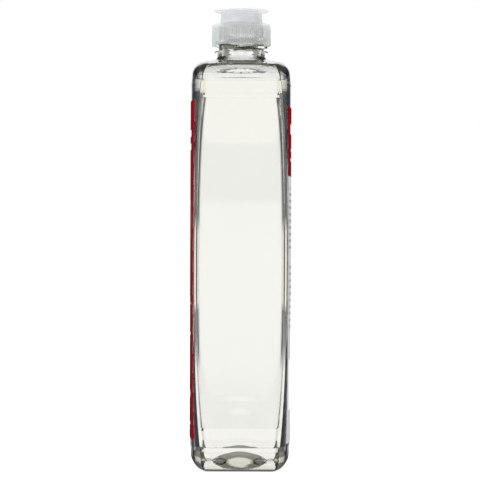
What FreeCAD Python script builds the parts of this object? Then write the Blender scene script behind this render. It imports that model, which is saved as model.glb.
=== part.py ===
import FreeCAD, Part
import os
import Sketcher

# A clear blown dish soap bottle with a push-pull screw cap, standing upright.
# Millimetres, +Z up. The origin is the middle of the foot that it stands on.
# The broad front faces -Y, the back faces +Y, and the two waisted flanks face -X and +X.

document = FreeCAD.newDocument("dish_soap_bottle")
sheet = document.addObject("Spreadsheet::Sheet", "Sizes")

# The driving dimensions, in millimetres and degrees
SIZES = {
    # the blown bottle seen from above: crowned front and back, flat flanks, round corners
    "body_width": 86.0,
    "body_depth": 52.74,
    "crown_radius": 237.0,
    "corner_radius": 27.0,
    "corner_cut": 56.0,
    # the bottle seen from the side, in heights above the table
    "foot_height": 12.5,
    "shoulder_height": 212.0,
    "shoulder_slope": 11.0,
    "shoulder_radius": 7.5,
    "shoulder_rim": 0.6,
    "foot_radius": 6.5,
    "draft": 5.0,
    "panel_recess": 0.1,
    "waist_depth": 8.5,
    "crease_bevel": 1.0,
    # the domed push-up under the bottle
    "hollow_half_length": 33.6,
    "hollow_half_breadth": 17.5,
    "hollow_height": 8.5,
    # the bottle's wall, thicker in the shoulder where it was stretched least, and its neck
    "wall": 0.7,
    "shoulder_wall": 1.5,
    "neck_radius": 12.5,
    "neck_blend": 1.2,
    "neck_sink": 2.5,
    "finish_radius": 11.85,
    "bore_radius": 9.8,
    "finish_height": 17.3,
    "bead_radius": 13.95,
    "bead_rise": 3.3,
    "bead_thickness": 0.8,
    # the soap
    "soap_film": 0.05,
    "fill_height": 198.9,
    # the two film labels
    "label_thickness": 0.15,
    "label_glue": 0.03,
    "label_corner": 1.5,
    "label_waist": 4.5,
    "front_label_width": 72.0,
    "front_label_foot": 15.2,
    "front_label_height": 173.8,
    "back_label_width": 71.0,
    "back_label_foot": 13.8,
    "back_label_height": 171.8,
    # the screw cap
    "cap_radius": 15.4,
    "cap_height": 11.4,
    "cap_wall": 1.25,
    "cap_edge": 1.4,
    "deck_thickness": 1.3,
    "cap_seat": 0.05,
    "flute_count": 80,
    "flute_depth": 0.35,
    "flute_width": 0.5,
    "flute_top": 2.9,
    "seal_length": 2.8,
    "seal_wall": 0.9,
    "seal_fit": 0.08,
    # the spout that stands on the cap, and the plug that it carries on three spokes
    "spout_radius": 9.3,
    "spout_wall": 1.2,
    "spout_height": 5.7,
    "snap_bead": 0.28,
    "snap_height": 0.7,
    "plug_radius": 2.65,
    "plug_height": 6.9,
    "spoke_count": 3,
    "spoke_width": 1.3,
    "spoke_height": 1.6,
    # the push-pull tip
    "tip_fit": 0.07,
    "tip_wall": 1.05,
    "tip_lift_gap": 0.3,
    "tip_height": 7.2,
    "tip_foot_flare": 0.6,
    "tip_foot_height": 2.6,
    "tip_blend": 0.9,
    "flange_radius": 14.2,
    "flange_thickness": 0.7,
    "flange_edge": 0.2,
}
for row, (alias, number) in enumerate(SIZES.items(), start=1):
    sheet.set(f"A{row}", alias.replace("_", " "))
    sheet.set(f"B{row}", f"{number:g}")
    sheet.setAlias(f"B{row}", alias)
document.recompute()


def size(name):
    """A driving dimension, as text for an expression."""
    return f"Sizes.{name}"


def value(expression):
    """What an expression comes to now, in millimetres or degrees."""
    result = sheet.evalExpression(expression)
    return float(getattr(result, "Value", result))


def bind(thing, prop, expression):
    """Sets a property from an expression, so that it follows the driving dimensions."""
    thing.setExpression(prop, expression)


def new_body(name):
    """An empty body whose label is the piece's name."""
    body = document.addObject("PartDesign::Body", name)
    body.Label = name
    return body


def new_sketch(body, name, role, lift=None):
    """An empty sketch on one of the body's own origin planes, lifted along its normal."""
    sketch = body.newObject("Sketcher::SketchObject", name)
    planes = {feature.Role: feature for feature in body.Origin.OriginFeatures}
    sketch.AttachmentSupport = [(planes[role], "")]
    sketch.MapMode = "FlatFace"
    if lift:
        bind(sketch, "AttachmentOffset.Base.z", lift)
    return sketch


# How a sketch counts the points of a curve, and the curve that stands for its own origin
START, END, CENTRE = range(1, 4)
ORIGIN = -1

# What lengths may differ by from rounding, in millimetres
ROUNDING = 1e-4
# The least length that a real edge of this bottle has
SHORTEST = 0.01


def pin(sketch, curve, end, x, y):
    """Fixes a point of a curve at the expressions x and y, measured from the sketch's origin."""
    for axis, kind, expression in ((-2, "DistanceX", x), (-1, "DistanceY", y)):
        if expression == "0":
            sketch.addConstraint(Sketcher.Constraint("PointOnObject", curve, end, axis))
            continue
        place = sketch.addConstraint(
            Sketcher.Constraint(kind, ORIGIN, START, curve, end, value(expression))
        )
        bind(sketch, f"Constraints[{place}]", expression)


def draw_loop(sketch, points):
    """A closed loop of straight lines through points given as pairs of expressions."""
    corners = [FreeCAD.Vector(value(x), value(y), 0) for x, y in points]
    first = sketch.GeometryCount
    for start, end in zip(corners, corners[1:] + corners[:1]):
        sketch.addGeometry(Part.LineSegment(start, end))
    for index, (x, y) in enumerate(points):
        line = first + index
        before = first + (index - 1) % len(points)
        sketch.addConstraint(Sketcher.Constraint("Coincident", before, END, line, START))
        pin(sketch, line, START, x, y)


def turn_loop(body, name, points, kind="PartDesign::Revolution"):
    """Turns a loop of (radius, height) points a full circle about the upright axis."""
    sketch = new_sketch(body, f"{name}_profile", "XZ_Plane")
    draw_loop(sketch, points)
    document.recompute()
    feature = body.newObject(kind, name)
    feature.Profile = sketch
    feature.ReferenceAxis = (sketch, ["V_Axis"])
    feature.Angle = 360
    document.recompute()
    return feature


def pad(body, sketch, name, length):
    """Raises a sketch by a length."""
    feature = body.newObject("PartDesign::Pad", name)
    feature.Profile = sketch
    bind(feature, "Length", length)
    document.recompute()
    return feature


def dress(body, kind, name, measure, chosen):
    """Rounds (Fillet) or bevels (Chamfer) those edges of the body so far that chosen(edge) picks."""
    base = body.Tip
    names = [
        f"Edge{number}"
        for number, edge in enumerate(base.Shape.Edges, start=1)
        if not edge.Degenerated and chosen(edge)
    ]
    if not names:
        raise RuntimeError(f"{body.Label}: no edge for {name}")
    feature = body.newObject(f"PartDesign::{kind}", name)
    feature.Base = (base, names)
    bind(feature, {"Fillet": "Radius", "Chamfer": "Size"}[kind], measure)
    document.recompute()
    return feature


def near(one, other):
    """Whether two lengths are the same but for rounding."""
    return abs(one - other) < ROUNDING


def is_circle(edge, radius, height):
    """Whether an edge is the level circle of that radius at that height."""
    curve = edge.Curve
    return (
        curve.TypeId == "Part::GeomCircle"
        and near(curve.Radius, value(radius))
        and near(curve.Center.z, value(height))
    )


# The bottle's outline from above

# A corner's centre: the flank cuts its arc off at corner_cut from the X axis
corner_x = (
    f"({size('body_width')} / 2"
    f" - {size('corner_radius')} * cos({size('corner_cut')} * 1 deg))"
)
# The centre of the crowned front is this far behind the middle of the bottle
crown_y = f"({size('crown_radius')} - {size('body_depth')} / 2)"
corner_y = (
    f"(sqrt(({size('crown_radius')} - {size('corner_radius')}) ^ 2 - {corner_x} ^ 2) - {crown_y})"
)
# The crease where the flank meets the corner, and its distance from the upright axis
crease_y = f"({corner_y} + {size('corner_radius')} * sin({size('corner_cut')} * 1 deg))"
crease_reach = f"sqrt(({size('body_width')} / 2) ^ 2 + {crease_y} ^ 2)"
# The label panels end a rim below the shoulder's rounding, where the shoulder is lowest
fall = f"(({crease_reach} - {size('neck_radius')}) * tan({size('shoulder_slope')} * 1 deg))"
round_run = f"({size('shoulder_radius')} * tan((90 - {size('shoulder_slope')}) / 2 * 1 deg))"
thickening = f"({size('shoulder_wall')} - {size('wall')})"
rim_top = f"({size('shoulder_height')} - {fall} - {round_run} - {thickening})"
panel_top = f"({rim_top} - {size('shoulder_rim')})"


def draw_outline(sketch, inset):
    """The bottle's outline from above, shrunk by inset: front, back, two flanks, four corners."""
    flank_x = f"({size('body_width')} / 2 - {inset})"
    front = value(f"{size('crown_radius')} - {inset}")
    turn = value(f"{size('corner_radius')} - {inset}")
    flank = value(flank_x)
    centre_x = value(corner_x)
    middle_y = value(crown_y)
    reach = front - turn
    centre_y = (reach**2 - centre_x**2) ** 0.5 - middle_y
    joint = FreeCAD.Vector(centre_x * front / reach, (centre_y + middle_y) * front / reach - middle_y)
    crease = FreeCAD.Vector(flank, centre_y + (turn**2 - (flank - centre_x) ** 2) ** 0.5)

    def at(point, sx, sy):
        return FreeCAD.Vector(point.x * sx, point.y * sy, 0)

    def arc(centre, radius, start, end):
        """The short way round from start to end, anticlockwise."""
        circle = Part.Circle(centre, FreeCAD.Vector(0, 0, 1), radius)
        return Part.ArcOfCircle(circle, circle.parameter(start), circle.parameter(end))

    # Anticlockwise: flank, corner, back, corner, flank, corner, front, corner
    corner = FreeCAD.Vector(centre_x, centre_y, 0)
    crown = FreeCAD.Vector(0, -middle_y, 0)
    sketch.addGeometry(
        [
            Part.LineSegment(at(crease, 1, -1), at(crease, 1, 1)),
            arc(corner, turn, at(crease, 1, 1), at(joint, 1, 1)),
            arc(crown, front, at(joint, 1, 1), at(joint, -1, 1)),
            arc(at(corner, -1, 1), turn, at(joint, -1, 1), at(crease, -1, 1)),
            Part.LineSegment(at(crease, -1, 1), at(crease, -1, -1)),
            arc(at(corner, -1, -1), turn, at(crease, -1, -1), at(joint, -1, -1)),
            arc(at(crown, 1, -1), front, at(joint, -1, -1), at(joint, 1, -1)),
            arc(at(corner, 1, -1), turn, at(joint, 1, -1), at(crease, 1, -1)),
        ]
    )
    add = sketch.addConstraint
    for before, after, joint_kind in (
        (0, 1, "Coincident"),
        (1, 2, "Tangent"),
        (2, 3, "Tangent"),
        (3, 4, "Coincident"),
        (4, 5, "Coincident"),
        (5, 6, "Tangent"),
        (6, 7, "Tangent"),
        (7, 0, "Coincident"),
    ):
        add(Sketcher.Constraint(joint_kind, before, END, after, START))
    for crown_arc, side in ((2, -1), (6, 1)):
        radius = add(Sketcher.Constraint("Radius", crown_arc, front))
        bind(sketch, f"Constraints[{radius}]", f"{size('crown_radius')} - {inset}")
        pin(sketch, crown_arc, CENTRE, "0", f"{side} * {crown_y}")
    for corner_arc, side in ((1, 1), (3, -1), (5, -1), (7, 1)):
        radius = add(Sketcher.Constraint("Radius", corner_arc, turn))
        bind(sketch, f"Constraints[{radius}]", f"{size('corner_radius')} - {inset}")
        across = Sketcher.Constraint("DistanceX", ORIGIN, START, corner_arc, CENTRE, side * centre_x)
        place = add(across)
        bind(sketch, f"Constraints[{place}]", f"{side} * {corner_x}")
    for flank_line, side in ((0, 1), (4, -1)):
        add(Sketcher.Constraint("Vertical", flank_line))
        across = Sketcher.Constraint("DistanceX", ORIGIN, START, flank_line, START, side * flank)
        place = add(across)
        bind(sketch, f"Constraints[{place}]", f"{side} * {flank_x}")


def draw_scoop(sketch, side, x, low, high, depth):
    """An arc from (x, low) to (x, high), drawn in by depth towards the upright axis.

    side is 1 right of the axis and -1 left of it. The arc runs downwards on the right and
    upwards on the left, and its curve number is returned.
    """
    edge = side * value(x)
    half = f"(({high} - {low}) / 2)"
    sweep = f"(({half} * {half} + {depth} * {depth}) / (2 * {depth}))"
    start, end = (high, low) if side == 1 else (low, high)
    first = FreeCAD.Vector(edge, value(start), 0)
    last = FreeCAD.Vector(edge, value(end), 0)
    middle = (first + last) / 2 - FreeCAD.Vector(side * value(depth), 0, 0)
    curve = sketch.addGeometry(Part.Arc(first, middle, last))
    radius = sketch.addConstraint(Sketcher.Constraint("Radius", curve, value(sweep)))
    bind(sketch, f"Constraints[{radius}]", sweep)
    pin(sketch, curve, START, f"{side} * {x}", start)
    pin(sketch, curve, END, f"{side} * {x}", end)
    return curve


def draw_waist(body, name, inset):
    """A long shallow scoop down each flank, which draws in the waist."""
    flank = f"({size('body_width')} / 2 - {inset})"
    beyond = f"({size('body_width')} / 2 + {size('crease_bevel')})"
    sketch = new_sketch(body, f"{name}_waist_profile", "XZ_Plane")
    for side in (1, -1):
        scoop = draw_scoop(
            sketch, side, flank, size("foot_height"), panel_top, size("waist_depth")
        )
        start, end = sketch.getPoint(scoop, START), sketch.getPoint(scoop, END)
        corners = [
            end,
            FreeCAD.Vector(side * value(beyond), end.y, 0),
            FreeCAD.Vector(side * value(beyond), start.y, 0),
            start,
        ]
        for one, other in zip(corners, corners[1:]):
            line = sketch.addGeometry(Part.LineSegment(one, other))
            sketch.addConstraint(Sketcher.Constraint("Coincident", line - 1, END, line, START))
        sketch.addConstraint(Sketcher.Constraint("Coincident", line, END, scoop, START))
        heights = [size("foot_height"), panel_top]
        if side == -1:
            heights.reverse()
        upright = line - 1
        pin(sketch, upright, START, f"{side} * {beyond}", heights[0])
        pin(sketch, upright, END, f"{side} * {beyond}", heights[1])
    document.recompute()
    waist = body.newObject("PartDesign::Pocket", f"{name}_waist")
    waist.Profile = sketch
    waist.Midplane = True
    bind(waist, "Length", f"{size('body_depth')} + {size('body_width')}")
    document.recompute()


def draw_dome(sketch, low, high):
    """The section of the push-up along X: an arc from low up to high, closed along the turning axis.

    low and high are measured from that axis, which is the sketch's horizontal axis.
    """
    half = size("hollow_half_length")
    rise = f"({high} - {low})"
    sweep = f"(({half} * {half} + {rise} * {rise}) / (2 * {rise}))"
    right = FreeCAD.Vector(value(half), value(low), 0)
    top = FreeCAD.Vector(0, value(high), 0)
    left = FreeCAD.Vector(-value(half), value(low), 0)
    curve = sketch.addGeometry(Part.Arc(right, top, left))
    radius = sketch.addConstraint(Sketcher.Constraint("Radius", curve, value(sweep)))
    bind(sketch, f"Constraints[{radius}]", sweep)
    below = [FreeCAD.Vector(side * value(half), 0, 0) for side in (-1, 1)]
    corners = [left, *below, right]
    for one, other in zip(corners, corners[1:]):
        line = sketch.addGeometry(Part.LineSegment(one, other))
        sketch.addConstraint(Sketcher.Constraint("Coincident", line - 1, END, line, START))
    sketch.addConstraint(Sketcher.Constraint("Coincident", line, END, curve, START))
    pin(sketch, curve, START, half, low)
    pin(sketch, curve, END, f"-{half}", low)
    pin(sketch, line, START, half, "0")
    pin(sketch, line - 1, START, f"-{half}", "0")


def blown_form(name, inset, ceiling):
    """The bottle below its neck, shrunk by inset: its outside, its cavity or its filling.

    ceiling is how far below the bottle's outside its shoulder lies.
    """
    body = new_body(name)
    # The label panels lie a little behind the foot and the shoulder, which narrow to their ends
    recessed = f"({inset} + {size('panel_recess')})"
    low, high = size("foot_height"), size("shoulder_height")
    for stage, shrink, start, length, lean in (
        ("foot", inset, low, f"{low} - {inset}", f"-{size('draft')}"),
        ("panels", recessed, low, f"{panel_top} - {low}", None),
        ("shoulder", inset, panel_top, f"{high} - {panel_top}", f"-{size('draft')}"),
    ):
        sketch = new_sketch(body, f"{name}_{stage}_outline", "XY_Plane", start)
        draw_outline(sketch, shrink)
        document.recompute()
        block = body.newObject("PartDesign::Pad", f"{name}_{stage}")
        block.Profile = sketch
        block.Reversed = stage == "foot"
        bind(block, "Length", length)
        if lean:
            bind(block, "TaperAngle", lean)
        document.recompute()
    draw_waist(body, name, recessed)

    # The shoulder falls away from the neck as a shallow cone
    outer = size("body_width")
    slope = f"tan({size('shoulder_slope')} * 1 deg)"
    cone = f"({size('shoulder_height')} - {ceiling} / cos({size('shoulder_slope')} * 1 deg))"
    above = f"({size('shoulder_height')} + {size('neck_radius')})"
    turn_loop(
        body,
        f"{name}_shoulder_slope",
        [
            ("0", f"{cone} + {size('neck_radius')} * {slope}"),
            (outer, f"{cone} + ({size('neck_radius')} - {outer}) * {slope}"),
            (outer, above),
            ("0", above),
        ],
        "PartDesign::Groove",
    )

    def round_shoulder(edge):
        box = edge.BoundBox
        upright = max(box.XLength, box.YLength) < SHORTEST
        outward = max(box.XMax, -box.XMin, box.YMax, -box.YMin) > value(size("bead_radius"))
        return box.ZMin > value(panel_top) + SHORTEST and outward and not upright

    def round_foot(edge):
        return edge.BoundBox.ZMax < value(inset) + SHORTEST

    shoulder_round = f"{size('shoulder_radius')} - {inset}"
    dress(body, "Fillet", f"{name}_shoulder_round", shoulder_round, round_shoulder)
    dress(body, "Fillet", f"{name}_foot_round", f"{size('foot_radius')} - {inset}", round_foot)

    # The flanks run into the front and the back over bevelled creases
    def crease(edge):
        box = edge.BoundBox
        flank = value(f"{size('body_width')} / 2 - {recessed}")
        half_run = value(f"({panel_top} - {size('foot_height')}) / 2")
        return box.ZLength > half_run and max(box.XMax, -box.XMin) > flank - SHORTEST

    dress(body, "Chamfer", f"{name}_creases", size("crease_bevel"), crease)

    # The foot is pushed up into a dome, turned about an axis along X below the table, so that
    # the bottle stands on a ring
    breadth, rise = size("hollow_half_breadth"), size("hollow_height")
    depth = f"(({breadth} * {breadth} - {rise} * {rise}) / (2 * {rise}))"
    section = new_sketch(body, f"{name}_hollow_section", "XZ_Plane")
    bind(section, "AttachmentOffset.Base.y", f"-{depth}")
    draw_dome(section, f"({depth} + {inset})", f"({depth} + {inset} + {rise})")
    document.recompute()
    push_up = body.newObject("PartDesign::Groove", f"{name}_hollow")
    push_up.Profile = section
    push_up.ReferenceAxis = (section, ["H_Axis"])
    push_up.Angle = 360
    document.recompute()
    return body


# The bottle's outside and its cavity

mouth = f"({size('shoulder_height')} + {size('finish_height')})"
neck_root = f"({size('shoulder_height')} - {size('neck_sink')})"
bead_low = f"({size('shoulder_height')} + {size('bead_rise')})"
bead_high = f"({bead_low} + {size('bead_thickness')})"

outside = blown_form("bottle_outside", "0", "0")
turn_loop(
    outside,
    "neck",
    [
        ("0", neck_root),
        (size("neck_radius"), neck_root),
        (size("neck_radius"), bead_low),
        (size("bead_radius"), bead_low),
        (size("bead_radius"), bead_high),
        (size("finish_radius"), bead_high),
        (size("finish_radius"), mouth),
        ("0", mouth),
    ],
)
dress(
    outside,
    "Chamfer",
    "neck_blend",
    size("neck_blend"),
    lambda edge: is_circle(edge, size("neck_radius"), size("shoulder_height")),
)

cavity = blown_form("bottle_cavity", size("wall"), size("shoulder_wall"))
bore_top = f"({mouth} + {size('neck_sink')})"
turn_loop(
    cavity,
    "neck_bore",
    [
        ("0", neck_root),
        (size("bore_radius"), neck_root),
        (size("bore_radius"), bore_top),
        ("0", bore_top),
    ],
)


# The soap fills the cavity up into the shoulder, a hair's breadth clear of the wall

soap = blown_form("soap", f"({size('wall')} + {size('soap_film')})", size("shoulder_wall"))
turn_loop(
    soap,
    "soap_level",
    [
        ("0", size("fill_height")),
        (size("body_width"), size("fill_height")),
        (size("body_width"), mouth),
        ("0", mouth),
    ],
    "PartDesign::Groove",
)


# The labels: thin film wrapped on the crowned front and back panels


def film_label(name, side):
    """A film label with round corners on the front (side -1) or the back (side 1)."""
    half = f"({size(name + '_width')} / 2)"
    low = size(f"{name}_foot")
    high = f"({low} + {size(name + '_height')})"
    within = f"({size('panel_recess')} - {size('label_glue')})"
    over = f"({within} - {size('label_thickness')})"
    film = new_body(f"{name}_film")
    section = new_sketch(film, f"{name}_outside", "XY_Plane", low)
    draw_outline(section, over)
    document.recompute()
    pad(film, section, f"{name}_wrap", f"{high} - {low}")
    hollow = new_sketch(film, f"{name}_inside", "XY_Plane", low)
    draw_outline(hollow, within)
    document.recompute()
    bottle_side = film.newObject("PartDesign::Pocket", f"{name}_bottle_side")
    bottle_side.Profile = hollow
    bottle_side.Reversed = True
    bind(bottle_side, "Length", f"{high} - {low}")
    document.recompute()

    # The cut outline of the label, drawn in at the waist like the bottle
    outline = new_body(f"{name}_outline")
    shape = new_sketch(outline, f"{name}_cut", "XZ_Plane")
    right = draw_scoop(shape, 1, half, low, high, size("label_waist"))
    left = draw_scoop(shape, -1, half, low, high, size("label_waist"))
    for start, end in ((right, left), (left, right)):
        edge = Part.LineSegment(shape.getPoint(start, END), shape.getPoint(end, START))
        line = shape.addGeometry(edge)
        shape.addConstraint(Sketcher.Constraint("Coincident", start, END, line, START))
        shape.addConstraint(Sketcher.Constraint("Coincident", line, END, end, START))
    document.recompute()
    pad(outline, shape, f"{name}_blank", size("body_depth")).Reversed = side == 1
    document.recompute()

    def corner(edge):
        box = edge.BoundBox
        return max(box.XLength, box.ZLength) < SHORTEST

    dress(outline, "Fillet", f"{name}_corners", size("label_corner"), corner)
    label = document.addObject("Part::Common", name)
    label.Base = film
    label.Tool = outline
    label.Label = name
    document.recompute()
    return label


front_label = film_label("front_label", -1)
back_label = film_label("back_label", 1)


# The screw cap: deck, fluted skirt, sealing ring, and the spout with its plug


def polar_array(body, feature, count):
    """Repeats a feature count times, evenly, about the upright axis."""
    pattern = body.newObject("PartDesign::PolarPattern", f"{feature.Name}_round")
    pattern.Originals = [feature]
    upright = [axis for axis in body.Origin.OriginFeatures if axis.Role == "Z_Axis"][0]
    pattern.Axis = (upright, [""])
    pattern.Angle = 360
    bind(pattern, "Occurrences", count)
    body.Tip = pattern
    document.recompute()
    return pattern


deck_low = f"({mouth} + {size('cap_seat')})"
deck_top = f"({deck_low} + {size('deck_thickness')})"
skirt_low = f"({deck_top} - {size('cap_height')})"
skirt_bore = f"({size('cap_radius')} - {size('cap_wall')})"
seal_outer = f"({size('bore_radius')} - {size('seal_fit')})"
seal_inner = f"({seal_outer} - {size('seal_wall')})"
spout_bore = f"({size('spout_radius')} - {size('spout_wall')})"
spout_top = f"({deck_top} + {size('spout_height')})"
snap_radius = f"({size('spout_radius')} + {size('snap_bead')})"
snap_low = f"({spout_top} - {size('snap_height')})"
plug_top = f"({deck_top} + {size('plug_height')})"
seal_low = f"({deck_low} - {size('seal_length')})"

# The top edge is bevelled in two steps, with the corner between them on a round of cap_edge
bevel = f"({size('cap_edge')} * (1 - cos(45 deg)))"

screw_cap = new_body("screw_cap")
turn_loop(
    screw_cap,
    "cap_shell",
    [
        (skirt_bore, skirt_low),
        (size("cap_radius"), skirt_low),
        (size("cap_radius"), f"({deck_top} - {size('cap_edge')})"),
        (f"({size('cap_radius')} - {bevel})", f"({deck_top} - {bevel})"),
        (f"({size('cap_radius')} - {size('cap_edge')})", deck_top),
        (size("spout_radius"), deck_top),
        (size("spout_radius"), f"({snap_low} - {size('snap_bead')})"),
        (snap_radius, snap_low),
        (snap_radius, f"({spout_top} - {size('snap_bead')})"),
        (size("spout_radius"), spout_top),
        (spout_bore, spout_top),
        (spout_bore, deck_low),
        (seal_inner, deck_low),
        (seal_inner, seal_low),
        (seal_outer, seal_low),
        (seal_outer, deck_low),
        (skirt_bore, deck_low),
    ],
)
# Three spokes at deck level carry the plug, and the soap flows between them
spoke = new_sketch(screw_cap, "spoke_outline", "XY_Plane", deck_low)
spoke_reach = f"({spout_bore} + {size('spout_wall')} / 2)"
draw_loop(
    spoke,
    [
        ("0", f"-{size('spoke_width')} / 2"),
        (spoke_reach, f"-{size('spoke_width')} / 2"),
        (spoke_reach, f"{size('spoke_width')} / 2"),
        ("0", f"{size('spoke_width')} / 2"),
    ],
)
document.recompute()
polar_array(screw_cap, pad(screw_cap, spoke, "spoke", size("spoke_height")), size("spoke_count"))
turn_loop(
    screw_cap,
    "plug",
    [
        ("0", deck_low),
        (size("plug_radius"), deck_low),
        (size("plug_radius"), f"({plug_top} - {size('snap_bead')})"),
        (f"({size('plug_radius')} - {size('snap_bead')})", plug_top),
        ("0", plug_top),
    ],
)

# Fine upright flutes round the skirt, for grip, below a plain band
flute = new_sketch(screw_cap, "flute_outline", "XY_Plane", skirt_low)
draw_loop(
    flute,
    [
        (f"({size('cap_radius')} - {size('flute_depth')})", "0"),
        (f"({size('cap_radius')} + {size('flute_depth')})", f"-{size('flute_width')}"),
        (f"({size('cap_radius')} + {size('flute_depth')})", size("flute_width")),
    ],
)
document.recompute()
flute_cut = screw_cap.newObject("PartDesign::Pocket", "flute")
flute_cut.Profile = flute
flute_cut.Reversed = True
bind(flute_cut, "Length", f"{size('cap_height')} - {size('flute_top')}")
document.recompute()
polar_array(screw_cap, flute_cut, size("flute_count"))


# The push-pull tip: a sleeve that slides on the spout, under a flange to pull it by

sleeve_bore = f"({snap_radius} + {size('tip_fit')})"
sleeve_radius = f"({sleeve_bore} + {size('tip_wall')})"
sleeve_foot = f"({sleeve_radius} + {size('tip_foot_flare')})"
lip_bore = f"({size('spout_radius')} + {size('tip_fit')})"
orifice = f"({size('plug_radius')} + {size('tip_fit')})"
tip_low = f"({deck_top} + {size('tip_lift_gap')})"
lip_high = f"({tip_low} + {size('snap_height')})"
tip_top = f"({deck_top} + {size('tip_height')})"
flange_low = f"({tip_top} - {size('flange_thickness')})"

pull_tip = new_body("pull_tip")
turn_loop(
    pull_tip,
    "tip_shell",
    [
        (lip_bore, tip_low),
        (sleeve_foot, tip_low),
        (sleeve_radius, f"({tip_low} + {size('tip_foot_height')})"),
        (sleeve_radius, flange_low),
        (size("flange_radius"), flange_low),
        (size("flange_radius"), tip_top),
        (orifice, tip_top),
        (orifice, flange_low),
        (sleeve_bore, flange_low),
        (sleeve_bore, f"({lip_high} + {size('snap_bead')})"),
        (lip_bore, lip_high),
    ],
)
dress(
    pull_tip,
    "Chamfer",
    "tip_neck_blend",
    size("tip_blend"),
    lambda edge: is_circle(edge, sleeve_radius, flange_low),
)
dress(
    pull_tip,
    "Chamfer",
    "flange_edge_bevel",
    size("flange_edge"),
    lambda edge: is_circle(edge, size("flange_radius"), tip_top)
    or is_circle(edge, size("flange_radius"), flange_low),
)


# The finished bottle: its outside, less its cavity

bottle = document.addObject("Part::Cut", "bottle")
bottle.Base = outside
bottle.Tool = cavity
bottle.Label = "bottle"
document.recompute()

# Check every object, then write each piece to its own file

for thing in document.Objects:
    if "Invalid" in thing.State or "Error" in thing.State:
        raise RuntimeError(f"{thing.Label} failed: {thing.State}")

pieces = [bottle, soap, front_label, back_label, screw_cap, pull_tip]
os.makedirs("parts", exist_ok=True)
for piece in pieces:
    shape = piece.Shape
    if shape.isNull() or not shape.isValid():
        raise RuntimeError(f"{piece.Label} has no valid shape")
    shape.exportStep(f"parts/{piece.Label}.step")
    box = shape.BoundBox
    print(
        f"{piece.Label}: {len(shape.Solids)} solid, {shape.Volume / 1000:.2f} ml,"
        f" x {box.XMin:.2f} to {box.XMax:.2f}, y {box.YMin:.2f} to {box.YMax:.2f},"
        f" z {box.ZMin:.2f} to {box.ZMax:.2f}"
    )
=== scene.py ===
# %% [markdown]
# # A clear dish soap bottle, dressed for the camera
#
# The bottle, its soap, its two labels, the screw cap and the pull tip come from a CAD model,
# which stays where it is. This lesson gives each of them the finish of its real material, adds
# the neck's screw thread, which the CAD leaves out, and builds the small studio that makes
# clear plastic readable: a white backdrop with dark card at both sides of it.

import math

import bpy
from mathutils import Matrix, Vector


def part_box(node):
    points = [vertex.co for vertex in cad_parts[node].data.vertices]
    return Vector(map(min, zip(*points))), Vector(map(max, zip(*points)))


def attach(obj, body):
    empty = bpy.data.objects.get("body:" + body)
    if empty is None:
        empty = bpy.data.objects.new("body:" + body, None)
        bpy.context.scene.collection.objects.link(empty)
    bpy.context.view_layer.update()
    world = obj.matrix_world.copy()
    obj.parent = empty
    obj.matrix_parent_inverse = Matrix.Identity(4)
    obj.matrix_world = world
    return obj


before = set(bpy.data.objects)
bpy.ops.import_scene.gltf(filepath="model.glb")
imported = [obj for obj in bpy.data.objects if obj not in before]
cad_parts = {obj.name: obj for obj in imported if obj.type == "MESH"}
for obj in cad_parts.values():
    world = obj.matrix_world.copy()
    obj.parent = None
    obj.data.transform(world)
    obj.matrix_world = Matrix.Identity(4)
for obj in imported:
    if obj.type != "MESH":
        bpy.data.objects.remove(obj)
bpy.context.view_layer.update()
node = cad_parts
print("nodes:", ", ".join(sorted(node)))

# %% [markdown]
# ## Helpers for colours and nodes
#
# Colours are picked as the hex values that a screen shows, but Blender mixes light in linear
# numbers, so one function turns the one into the other. A node tree is long to write by hand,
# so a second function adds a node, sets what it is told to and links what it is given.

# %% Colour and node helpers
MM = 0.001


def linear(code):
    """The linear RGBA colour of an sRGB hex code such as "f3f0e8"."""
    parts = [int(code[i:i + 2], 16) / 255 for i in (0, 2, 4)]
    curve = [c / 12.92 if c <= 0.04045 else ((c + 0.055) / 1.055) ** 2.4 for c in parts]
    return (*curve, 1.0)


def add(tree, kind, inputs=None, **settings):
    """Adds a node; an input that is a socket gets linked, and any other value is set."""
    made = tree.nodes.new(kind)
    for name, setting in settings.items():
        setattr(made, name, setting)
    for name, given in (inputs or {}).items():
        if isinstance(given, bpy.types.NodeSocket):
            tree.links.new(given, made.inputs[name])
        else:
            made.inputs[name].default_value = given
    return made


def new_material(name):
    """A node material with nothing in its tree yet, and the tree."""
    material = bpy.data.materials.new(name)
    material.use_nodes = True
    material.node_tree.nodes.clear()
    return material, material.node_tree


def finish_of(piece, material):
    """Makes the material the only one that the piece has."""
    piece.data.materials.clear()
    piece.data.materials.append(material)
    print(piece.name, "is finished in", material.name)


# %% [markdown]
# ## The bottle: stretch-blown PET
#
# A heated preform is stretched and blown against a polished mould, so the wall comes out as
# clear as glass with a high gloss, and only a faint waviness betrays that it was never ground.
# PET bends light a little more than window glass does, with an index of about 1.57. Moving the
# mesh's points would give the waviness too, but a bump of long soft noise does it without
# touching the CAD part. The waves are some 9 mm from crest to crest.

# %% Blown PET
PET_IOR = 1.57
WAVE_LENGTH = 9 * MM
WAVE_HEIGHT = 0.3 * MM
WAVE_SHARE = 0.04

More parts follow.
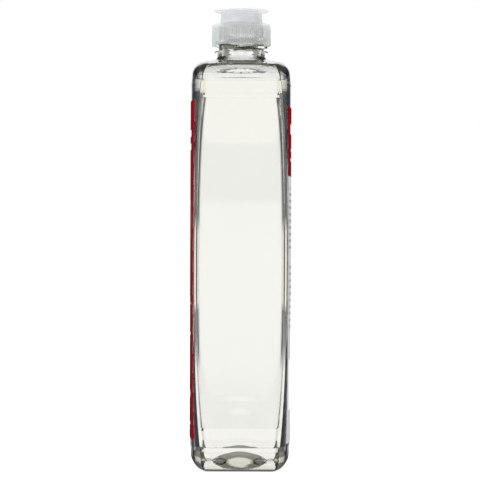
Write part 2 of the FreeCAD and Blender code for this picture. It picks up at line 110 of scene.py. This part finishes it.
blown_pet, tree = new_material("stretch_blown_pet")
place = add(tree, "ShaderNodeTexCoord")
waves = add(tree, "ShaderNodeTexNoise", {
    "Vector": place.outputs["Object"], "Scale": 1 / WAVE_LENGTH, "Detail": 1.0, "Roughness": 0.4})
ripple = add(tree, "ShaderNodeBump", {
    "Height": waves.outputs["Fac"], "Strength": WAVE_SHARE, "Distance": WAVE_HEIGHT})
shader = add(tree, "ShaderNodeBsdfPrincipled", {
    "Base Color": linear("fdfdfc"), "Roughness": 0.0, "IOR": PET_IOR,
    "Transmission Weight": 1.0, "Normal": ripple.outputs["Normal"]})
add(tree, "ShaderNodeOutputMaterial", {"Surface": shader.outputs["BSDF"]})
finish_of(node["bottle"], blown_pet)

# %% [markdown]
# ## The soap: a clear surfactant solution
#
# It is water with about a quarter of surfactant, so it bends light a little more than water
# does, at 1.40, and has a faint warm tint that only shows through its full depth. A tinted
# surface would colour thin and thick places alike. A volume that absorbs blue slightly more
# than red and green deepens with the liquid, so that way was chosen.

# %% Clear soap
SOAP_IOR = 1.40
TINT_KEPT = (0.5, 0.5, 0.1, 1.0)
TINT_PER_METRE = 1.0

clear_soap, tree = new_material("clear_surfactant_soap")
shader = add(tree, "ShaderNodeBsdfPrincipled", {
    "Base Color": (1.0, 1.0, 1.0, 1.0), "Roughness": 0.0, "IOR": SOAP_IOR,
    "Transmission Weight": 1.0})
tint = add(tree, "ShaderNodeVolumeAbsorption", {"Color": TINT_KEPT, "Density": TINT_PER_METRE})
add(tree, "ShaderNodeOutputMaterial", {
    "Surface": shader.outputs["BSDF"], "Volume": tint.outputs["Volume"]})
finish_of(node["soap"], clear_soap)

# %% [markdown]
# ## The labels: printed polypropylene film
#
# A film label is printed on its outer side and glued on, so from inside the bottle it shows the
# back of the film, which is white; its mid grey there is painted shade. A picture of the print
# would be the usual way. Here the print is worked out from each point's own x and z instead, as
# fields, bars and rings with soft edges, which needs no file and stays sharp from close by.

# %% Shapes for the print
SOFT_EDGE = 0.15 * MM
# The Mix node has sockets for every kind of data. These are the places of its colour ones.
FACTOR, UNDER, OVER, MIXED = 0, 6, 7, 2


def band(tree, value, low, high, soft=SOFT_EDGE):
    """1 where the value lies between low and high, with a soft edge."""
    rise = add(tree, "ShaderNodeMapRange", {
        "Value": value, "From Min": low - soft, "From Max": low + soft})
    fall = add(tree, "ShaderNodeMapRange", {
        "Value": value, "From Min": high + soft, "From Max": high - soft})
    both = add(tree, "ShaderNodeMath", {0: rise.outputs["Result"], 1: fall.outputs["Result"]},
               operation="MULTIPLY")
    return both.outputs["Value"]


def print_block(tree, under, across, up, shade):
    """Prints a block of one colour over what is under it, where both its bands are 1."""
    block = add(tree, "ShaderNodeMath", {0: across, 1: up}, operation="MULTIPLY")
    inked = add(tree, "ShaderNodeMix", {
        FACTOR: block.outputs["Value"], UNDER: under, OVER: linear(shade)}, data_type="RGBA")
    return inked.outputs[MIXED]


def print_bars(tree, under, x, z, bars):
    """Prints bars over the label's middle: lower edge, half length and height in mm, colour."""
    for bar_z, half, thick, shade in bars:
        across = band(tree, x, -half * MM, half * MM)
        up = band(tree, z, bar_z * MM, (bar_z + thick) * MM)
        under = print_block(tree, under, across, up, shade)
    return under


# %% [markdown]
# ## The film itself
#
# The two sides of a film are told apart by which way the surface faces, along y. The ink is
# matt, so the shader has no gloss at all, and the red stays deep at a glancing angle too.

# %% Film shader
FRONT, BACK = -1.0, 1.0
# The film's back is white; this mid grey is painted shade.
REVERSE_PAINTED_SHADE = "90928d"


def film_tree(name):
    """A new film material and its tree, and the x and z of a point on the label."""
    material, tree = new_material(name)
    place = add(tree, "ShaderNodeTexCoord")
    parts = add(tree, "ShaderNodeSeparateXYZ", {"Vector": place.outputs["Object"]})
    return material, tree, parts.outputs["X"], parts.outputs["Z"]


def close_film(tree, printed, facing):
    """Ends a film's tree: the print on the side that is FRONT or BACK, the reverse on the other."""
    shape = add(tree, "ShaderNodeNewGeometry")
    way = add(tree, "ShaderNodeSeparateXYZ", {"Vector": shape.outputs["True Normal"]})
    along = add(tree, "ShaderNodeMath", {0: way.outputs["Y"], 1: facing}, operation="MULTIPLY")
    outward = add(tree, "ShaderNodeMath", {0: along.outputs["Value"], 1: 0.0},
                  operation="GREATER_THAN")
    side = add(tree, "ShaderNodeMix", {
        FACTOR: outward.outputs["Value"], UNDER: linear(REVERSE_PAINTED_SHADE), OVER: printed},
        data_type="RGBA")
    shader = add(tree, "ShaderNodeBsdfPrincipled", {
        "Base Color": side.outputs[MIXED], "Roughness": 0.4, "IOR": 1.49,
        "Specular IOR Level": 0.0})
    add(tree, "ShaderNodeOutputMaterial", {"Surface": shader.outputs["BSDF"]})


# %% [markdown]
# ## The front label
#
# It is red from edge to edge, with cream bars where a real label would have its lines of
# words, a cream disc in the middle and a few pink rings for bubbles.

# %% Front label
RED, CREAM, ROSE = "78141d", "f3f0e8", "d9737c"
# Each ring's middle in x and z, its outer and its inner radius, in mm, and its colour. A disc
# is a ring whose inner radius is below zero.
RINGS = (((0, 104), 9, -1, CREAM), ((0, 104), 6.5, 5.9, RED), ((-14, 134), 7.5, 6.6, ROSE),
         ((12, 128), 10, 9.1, ROSE), ((-4, 146), 4.6, 3.9, ROSE), ((15, 52), 5, 4.3, ROSE))
FRONT_BARS = ((170.6, 20, 3.4, CREAM), (163.8, 19, 3.4, CREAM), (84, 24, 1.2, ROSE),
              (68, 18, 1.8, CREAM), (64, 14, 1.2, CREAM), (36.2, 19, 3.0, CREAM),
              (22, 20, 1.4, CREAM), (19, 15, 0.9, CREAM))

front_film, tree, x, z = film_tree("printed_polypropylene_film_front")
low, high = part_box("front_label")
print("front label: z", round(low.z / MM, 1), "to", round(high.z / MM, 1), "mm")
printed = linear(RED)
flat = add(tree, "ShaderNodeCombineXYZ", {"X": x, "Y": z})
for (middle_x, middle_z), outer, inner, shade in RINGS:
    middle = (middle_x * MM, middle_z * MM, 0)
    away = add(tree, "ShaderNodeVectorMath", {0: flat.outputs["Vector"], 1: middle},
               operation="DISTANCE")
    ring = band(tree, away.outputs["Value"], inner * MM, outer * MM)
    printed = print_block(tree, printed, ring, 1.0, shade)
printed = print_bars(tree, printed, x, z, FRONT_BARS)
close_film(tree, printed, FRONT)
finish_of(node["front_label"], front_film)

# %% [markdown]
# ## The back label
#
# Its head is red with cream bars, and the rest is a pale grey field with blocks of fine grey rows
# in place of the small print. The field's film is white, and its grey is painted shade. The rows
# come from the remainder of z over their spacing, so one band draws all of them.

# %% Back label
# The field's grey is painted shade over a white film.
FIELD_GREY_PAINTED_SHADE, ROW_GREY, WHITE = "c8cac9", "8f9090", "fafafa"
HEAD = (150, 190)
ROW_SPACING = 3.4 * MM
ROW_LOW, ROW_HIGH = 0.8 * MM, 2.1 * MM
# Each block of rows from its lower to its upper edge and from its left to its right one, in mm
ROW_BLOCKS = ((112, 144, -30, 28), (70, 106, -27, -2), (70, 106, 3, 26), (22, 62, -28, 4))
WHITE_BLOCK = (30, 56, 8, 28)
BACK_BARS = ((172, 22, 5, CREAM), (163, 17, 1.6, CREAM), (158, 20, 1.6, CREAM))

back_film, tree, x, z = film_tree("printed_polypropylene_film_back")
low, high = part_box("back_label")
print("back label: z", round(low.z / MM, 1), "to", round(high.z / MM, 1), "mm")
head = band(tree, z, HEAD[0] * MM, HEAD[1] * MM)
printed = print_block(tree, linear(FIELD_GREY_PAINTED_SHADE), head, 1.0, RED)
step = add(tree, "ShaderNodeMath", {0: z, 1: ROW_SPACING}, operation="MODULO")
rows = band(tree, step.outputs["Value"], ROW_LOW, ROW_HIGH)
for lower, upper, left, right in ROW_BLOCKS:
    across = band(tree, x, left * MM, right * MM)
    field = add(tree, "ShaderNodeMath", {0: band(tree, z, lower * MM, upper * MM), 1: rows},
                operation="MULTIPLY")
    printed = print_block(tree, printed, across, field.outputs["Value"], ROW_GREY)
lower, upper, left, right = WHITE_BLOCK
printed = print_block(tree, printed, band(tree, x, left * MM, right * MM),
                      band(tree, z, lower * MM, upper * MM), WHITE)
printed = print_bars(tree, printed, x, z, BACK_BARS)
close_film(tree, printed, BACK)
finish_of(node["back_label"], back_film)

# %% [markdown]
# ## The cap and the tip: natural polyolefins
#
# The screw cap is moulded polypropylene with no pigment. Its crystals scatter light, so the
# wall is cloudy rather than clear, and the neck's dark edges only just show through it. The
# tip is softer polyethylene, which is milkier. Scattering under the surface would be truer,
# but it is slow and grainy in walls this thin. A mix of a matt skin, light let through from
# behind and a share that passes straight on gives much the same look.

# %% Cloudy plastic
SKIN_SHARE = 0.7


def close_cloudy(tree, inside, skin, clear, clear_share):
    """Ends a cloudy plastic's tree: its skin, the light from behind and the light straight on."""
    cloud = add(tree, "ShaderNodeMixShader", {
        0: SKIN_SHARE, 1: inside.outputs[0], 2: skin.outputs[0]})
    wall = add(tree, "ShaderNodeMixShader", {
        0: clear_share, 1: cloud.outputs[0], 2: clear.outputs[0]})
    add(tree, "ShaderNodeOutputMaterial", {"Surface": wall.outputs[0]})


# %% [markdown]
# ## The screw cap
#
# A cap's mould is often spark-eroded, which leaves a fine matt grain on the plastic. The real
# grain is too fine for the picture, so it is drawn at 0.6 mm, coarse enough to soften the gloss.

# %% Natural polypropylene
GRAIN_SIZE = 0.6 * MM
GRAIN_HEIGHT = 0.05 * MM
CAP_CLEAR_SHARE = 0.68

natural_pp, tree = new_material("natural_polypropylene")
place = add(tree, "ShaderNodeTexCoord")
grain = add(tree, "ShaderNodeTexNoise", {
    "Vector": place.outputs["Object"], "Scale": 1 / GRAIN_SIZE, "Detail": 2.0})
matt = add(tree, "ShaderNodeBump", {
    "Height": grain.outputs["Fac"], "Strength": 0.15, "Distance": GRAIN_HEIGHT})
inside = add(tree, "ShaderNodeBsdfTranslucent", {
    "Color": linear("fbfcfc"), "Normal": matt.outputs["Normal"]})
skin = add(tree, "ShaderNodeBsdfPrincipled", {
    "Base Color": linear("f8fafa"), "Roughness": 0.3, "IOR": 1.49,
    "Normal": matt.outputs["Normal"]})
clear = add(tree, "ShaderNodeBsdfTransparent", {"Color": linear("f9fafa")})
close_cloudy(tree, inside, skin, clear, CAP_CLEAR_SHARE)
finish_of(node["screw_cap"], natural_pp)

# %% [markdown]
# ## The pull tip
#
# Polyethylene feels waxy and comes out of the mould smoother than the cap, so it has no grain
# here. It lets less light straight on, and its tint leans to blue.

# %% Natural polyethylene
TIP_CLEAR_SHARE = 0.45

natural_pe, tree = new_material("natural_polyethylene")
inside = add(tree, "ShaderNodeBsdfTranslucent", {"Color": linear("fcfcfe")})
skin = add(tree, "ShaderNodeBsdfPrincipled", {
    "Base Color": linear("fafafd"), "Roughness": 0.35, "IOR": 1.51})
clear = add(tree, "ShaderNodeBsdfTransparent", {"Color": linear("f9fafc")})
close_cloudy(tree, inside, skin, clear, TIP_CLEAR_SHARE)
finish_of(node["pull_tip"], natural_pe)

# %% [markdown]
# ## The neck's screw thread
#
# The thread is moulded with the neck. It could be a boolean or a screw modifier, but a ridge
# swept along a helix in code keeps its true run-in: it grows out of the neck just above the
# bead, near the side that faces +X, and climbs a right-handed turn and three quarters until it
# is under the cap.

# %% Thread sizes, in millimetres and degrees
THREAD_PITCH = 4.23
THREAD_CREST = 13.7
NECK_RADIUS = 11.85
HEIGHT_AT_BACK = 218.3
BACK_ANGLE = 90
THREAD_START, THREAD_END = -20, 620
RUN_IN = 45
STEPS_PER_TURN = 72
ROOT_SINK, HALF_ROOT, HALF_CREST = 0.15, 1.35, 0.5
print("neck thread:", round((THREAD_END - THREAD_START) / 360, 2), "turns")


# %% Thread ridge
def ridge_section(degrees):
    """The four corners of the ridge at an angle, in metres, shrunk to the neck at both ends."""
    grown = min(1.0, (degrees - THREAD_START) / RUN_IN, (THREAD_END - degrees) / RUN_IN)
    crest = NECK_RADIUS + (THREAD_CREST - NECK_RADIUS) * math.sin(grown * math.pi / 2)
    root = NECK_RADIUS - ROOT_SINK
    turn = math.radians(degrees)
    height = HEIGHT_AT_BACK + THREAD_PITCH * (degrees - BACK_ANGLE) / 360
    corners = ((root, -HALF_ROOT), (crest, -HALF_CREST), (crest, HALF_CREST), (root, HALF_ROOT))
    return [(radius * math.cos(turn) * MM, radius * math.sin(turn) * MM, (height + lift) * MM)
            for radius, lift in corners]


def thread_ridge(name):
    """The whole ridge as one closed mesh: a section at each step, joined to the one before."""
    steps = int((THREAD_END - THREAD_START) / 360 * STEPS_PER_TURN)
    points, faces = [], []
    for step in range(steps + 1):
        section = ridge_section(THREAD_START + (THREAD_END - THREAD_START) * step / steps)
        sides = len(section)
        points.extend(section)
        if step:
            for side in range(sides):
                one, other = sides * step + side, sides * step + (side + 1) % sides
                faces.append((one - sides, other - sides, other, one))
    faces.append(tuple(reversed(range(sides))))
    faces.append(tuple(sides * steps + side for side in range(sides)))
    mesh = bpy.data.meshes.new(name)
    mesh.from_pydata(points, [], faces)
    mesh.update()
    ridge = bpy.data.objects.new(name, mesh)
    bpy.context.collection.objects.link(ridge)
    return ridge


neck_thread = thread_ridge("neck_thread")
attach(neck_thread, "bottle_body")
print("neck thread:", len(neck_thread.data.polygons), "faces")

# %% [markdown]
# ## The thread's finish: unstretched PET with painted shade
#
# The neck isn't blown, so the plastic there stays as thick as the preform was. It is the same
# clear PET, but its colour is an olive grey that paints the shade round the neck's root, so
# the ridge reads darker than the body.

# %% Unstretched PET with painted shade
painted_shade_neck_pet, tree = new_material("unstretched_neck_pet_painted_shade")
# The olive grey base colour is painted shade, not a tint of the plastic.
shader = add(tree, "ShaderNodeBsdfPrincipled", {
    "Base Color": linear("8c8c74"), "Roughness": 0.0, "IOR": PET_IOR, "Transmission Weight": 1.0})
add(tree, "ShaderNodeOutputMaterial", {"Surface": shader.outputs["BSDF"]})
finish_of(neck_thread, painted_shade_neck_pet)

# %% [markdown]
# ## The studio
#
# Clear plastic has no colour of its own: what the camera sees is the room, bent. A white
# backdrop fills the middle, and dark card beside it draws the dark edges that give the form.
# Real boards round the bottle could play the room, but a table of brightness by compass
# direction is simpler and casts no shadow. The world and the floor share it.

# %% The room by compass direction
# Degrees round from -X, the same to both sides, and what stands there
ROOM = ((0, "ffffff"), (7, "ffffff"), (10, "33373f"), (50, "3f4347"), (57, "f4f3ea"),
        (140, "f4f3ea"), (146, "5b5f62"), (165, "5b5f62"), (172, "f6f6f2"))
LIGHT_BOARD = "f4f3ea"
HALF_TURN = 180


def fill_ramp(ramp, stops, span):
    """Sets a new ramp's stops from places and sRGB codes; span is the place at its far end."""
    made = ramp.color_ramp.elements
    for count, (where, shade) in enumerate(stops):
        stop = made[count] if count < len(made) else made.new(where / span)
        stop.position = where / span
        stop.color = linear(shade)


def room_colour(tree, place):
    """What stands in the direction of a place, by its angle from -X."""
    way = add(tree, "ShaderNodeSeparateXYZ", {"Vector": place})
    across = add(tree, "ShaderNodeMath", {0: way.outputs["Y"]}, operation="ABSOLUTE")
    away = add(tree, "ShaderNodeMath", {0: way.outputs["X"], 1: -1.0}, operation="MULTIPLY")
    angle = add(tree, "ShaderNodeMath", {0: across.outputs[0], 1: away.outputs[0]},
                operation="ARCTAN2")
    turn = add(tree, "ShaderNodeMath", {0: angle.outputs[0], 1: math.pi}, operation="DIVIDE")
    ramp = add(tree, "ShaderNodeValToRGB", {"Fac": turn.outputs[0]})
    fill_ramp(ramp, ROOM, HALF_TURN)
    return ramp.outputs["Color"]


def ray_kinds(tree):
    """Two masks: 1 for the camera's own rays, and 1 for those that are mirrored or bent."""
    light = add(tree, "ShaderNodeLightPath")
    bent = add(tree, "ShaderNodeMath", {
        0: light.outputs["Is Glossy Ray"], 1: light.outputs["Is Transmission Ray"]},
        operation="MAXIMUM")
    return light.outputs["Is Camera Ray"], bent.outputs["Value"]


print("the room has", len(ROOM), "stops, from", ROOM[0][1], "to", ROOM[-1][1])

# %% [markdown]
# ## The world
#
# Only mirrored and bent rays see the room. The camera itself sees plain white, and matt
# surfaces are lit by plain white too, so that their colours come out about as written. The
# dark card stops at the horizon, where a strip of light board keeps the bottle's corners
# light at mid-height. Above the walls hangs a grey ceiling, with a light in its middle.

# %% World: what stands in each direction
# Heights are angles above the horizon. The ceiling's stops are in degrees, up to OVERHEAD.
HORIZON_LOW, HORIZON_HIGH = math.radians(-5.5), math.radians(2.2)
HORIZON_SOFT = math.radians(0.6)
CEILING_FROM, CEILING_FULL = 14, 17
CEILING = ((15, "6e6f64"), (45, "77786d"), (52, "f2f2ea"), (90, "f2f2ea"))
OVERHEAD = 90

world = bpy.data.worlds.new("studio")
bpy.context.scene.world = world
world.use_nodes = True
tree = world.node_tree
tree.nodes.clear()
place = add(tree, "ShaderNodeTexCoord")
walls = room_colour(tree, place.outputs["Generated"])
way = add(tree, "ShaderNodeSeparateXYZ", {"Vector": place.outputs["Generated"]})
height = add(tree, "ShaderNodeMath", {0: way.outputs["Z"]}, operation="ARCSINE")
level = add(tree, "ShaderNodeMath", {0: height.outputs[0], 1: math.pi / 2}, operation="DIVIDE")
above = add(tree, "ShaderNodeMapRange", {
    "Value": level.outputs[0], "From Min": CEILING_FROM / OVERHEAD,
    "From Max": CEILING_FULL / OVERHEAD})
ceiling = add(tree, "ShaderNodeValToRGB", {"Fac": level.outputs[0]})
fill_ramp(ceiling, CEILING, OVERHEAD)
roofed = add(tree, "ShaderNodeMix", {
    FACTOR: above.outputs["Result"], UNDER: walls, OVER: ceiling.outputs["Color"]},
    data_type="RGBA")
horizon = band(tree, height.outputs[0], HORIZON_LOW, HORIZON_HIGH, HORIZON_SOFT)
seen = add(tree, "ShaderNodeMix", {
    FACTOR: horizon, UNDER: roofed.outputs[MIXED], OVER: linear(LIGHT_BOARD)},
    data_type="RGBA", blend_type="LIGHTEN")
print("world: light board from", round(math.degrees(HORIZON_LOW), 1), "to",
      round(math.degrees(HORIZON_HIGH), 1), "degrees up")

# %% World: which rays see it
PLAIN_WHITE = (1.0, 1.0, 1.0, 1.0)

by_camera, bent = ray_kinds(tree)
room = add(tree, "ShaderNodeMix", {
    FACTOR: bent, UNDER: PLAIN_WHITE, OVER: seen.outputs[MIXED]}, data_type="RGBA")
shown = add(tree, "ShaderNodeMix", {
    FACTOR: by_camera, UNDER: room.outputs[MIXED], OVER: PLAIN_WHITE}, data_type="RGBA")
sky = add(tree, "ShaderNodeBackground", {"Color": shown.outputs[MIXED], "Strength": 1.0})
add(tree, "ShaderNodeOutputWorld", {"Surface": sky.outputs[0]})
print("world:", len(tree.nodes), "nodes")

# %% [markdown]
# ## The floor
#
# To the camera it is a pale board that glows almost to white and still takes the bottle's
# shadow. Bent rays see the room's colours drawn out along it, from a point in front of the
# bottle, with the light board beyond the card and in front. Close to the bottle, where its
# own shadow lies, it is dark.

# %% Floor
FLOOR_SIZE = 6
FLOOR_DROP = 0.2 * MM
BOARD_GREY = 0.8
GLOW = 0.75
WALLS_MEET = (0.2, 0, 0)
SHADOW_EDGE, SHADOW_END, SHADOW_LEVEL = 0.04, 0.075, 0.14
CARD_EDGE, CARD_END = 1.05, 1.35
FRONT_EDGE, FRONT_END = -0.02, 0.05

bpy.ops.mesh.primitive_plane_add(size=FLOOR_SIZE, location=(0, 0, -FLOOR_DROP))
floor = bpy.context.object
floor.name = "floor"
pale_board, tree = new_material("pale_board")
by_camera, bent = ray_kinds(tree)
matt = add(tree, "ShaderNodeBsdfDiffuse", {"Color": (BOARD_GREY, BOARD_GREY, BOARD_GREY, 1)})
glow = add(tree, "ShaderNodeEmission", {"Color": PLAIN_WHITE, "Strength": GLOW})
lit = add(tree, "ShaderNodeAddShader", {0: matt.outputs[0], 1: glow.outputs[0]})
direct = add(tree, "ShaderNodeMixShader", {0: by_camera, 1: matt.outputs[0], 2: lit.outputs[0]})

# %% Floor, as bent rays see it
place = add(tree, "ShaderNodeTexCoord")
from_meeting = add(tree, "ShaderNodeVectorMath", {0: place.outputs["Object"], 1: WALLS_MEET},
                   operation="SUBTRACT")
walls = room_colour(tree, from_meeting.outputs["Vector"])
reach = add(tree, "ShaderNodeVectorMath", {0: place.outputs["Object"]}, operation="LENGTH")
shadow = add(tree, "ShaderNodeMapRange", {
    "Value": reach.outputs["Value"], "From Min": SHADOW_EDGE, "From Max": SHADOW_END,
    "To Min": SHADOW_LEVEL, "To Max": 1.0})
beyond = add(tree, "ShaderNodeMapRange", {
    "Value": reach.outputs["Value"], "From Min": CARD_EDGE, "From Max": CARD_END})
ahead = add(tree, "ShaderNodeSeparateXYZ", {"Vector": place.outputs["Object"]})
in_front = add(tree, "ShaderNodeMapRange", {
    "Value": ahead.outputs["X"], "From Min": FRONT_EDGE, "From Max": FRONT_END})
carded = add(tree, "ShaderNodeMix", {
    FACTOR: beyond.outputs["Result"], UNDER: walls, OVER: linear(LIGHT_BOARD)},
    data_type="RGBA", blend_type="LIGHTEN")
board = add(tree, "ShaderNodeMix", {
    FACTOR: in_front.outputs["Result"], UNDER: carded.outputs[MIXED],
    OVER: linear(LIGHT_BOARD)}, data_type="RGBA")
bent_floor = add(tree, "ShaderNodeEmission", {
    "Color": board.outputs[MIXED], "Strength": shadow.outputs["Result"]})
whole = add(tree, "ShaderNodeMixShader", {0: bent, 1: direct.outputs[0], 2: bent_floor.outputs[0]})
add(tree, "ShaderNodeOutputMaterial", {"Surface": whole.outputs[0]})
finish_of(floor, pale_board)

# %% [markdown]
# ## The camera
#
# It looks at the bottle's narrow flank, from +X, with a long lens at half the bottle's height,
# so the sides come out upright. It is rolled by a quarter of a degree, because the bottle
# leans by that much in the picture that this one is set beside.

# %% Camera
DISTANCE = 1.0
ASIDE = -0.3 * MM
EYE_HEIGHT = 0.1173
ROLL = math.radians(0.23)

camera_data = bpy.data.cameras.new("camera")
camera = bpy.data.objects.new("camera", camera_data)
bpy.context.collection.objects.link(camera)
camera_data.sensor_width = 36
camera_data.lens = 142.6
camera_data.clip_start = 0.01
camera.location = (DISTANCE, ASIDE, EYE_HEIGHT)
camera.rotation_euler = (math.pi / 2, -ROLL, math.pi / 2)
bpy.context.scene.camera = camera
bpy.context.scene.view_settings.view_transform = "Standard"
print("camera:", camera_data.lens, "mm lens,", DISTANCE, "m away")

# %% [markdown]
# ## The lamp
#
# One large soft box above and in front gives matt surfaces a soft direction of light. Mirrored
# and bent rays don't see it, so it leaves no bright square in the clear plastic.

# %% Lamp
BOX_SIDE = 0.8
BOX_WATTS = 8
BOX_PLACE = (0.5, -0.3, 1.1)
BOX_AIM = (0, 0, 0.12)

lamp_data = bpy.data.lights.new("soft_box", "AREA")
lamp_data.energy = BOX_WATTS
lamp_data.size_y = BOX_SIDE
lamp_data.size = BOX_SIDE
lamp = bpy.data.objects.new("soft_box", lamp_data)
bpy.context.collection.objects.link(lamp)
lamp.location = BOX_PLACE
lamp.visible_glossy = False
lamp.visible_transmission = False
lamp.rotation_euler = (Vector(BOX_AIM) - lamp.location).to_track_quat("-Z", "Y").to_euler()
print("lamp:", BOX_WATTS, "W,", BOX_SIDE, "m square")
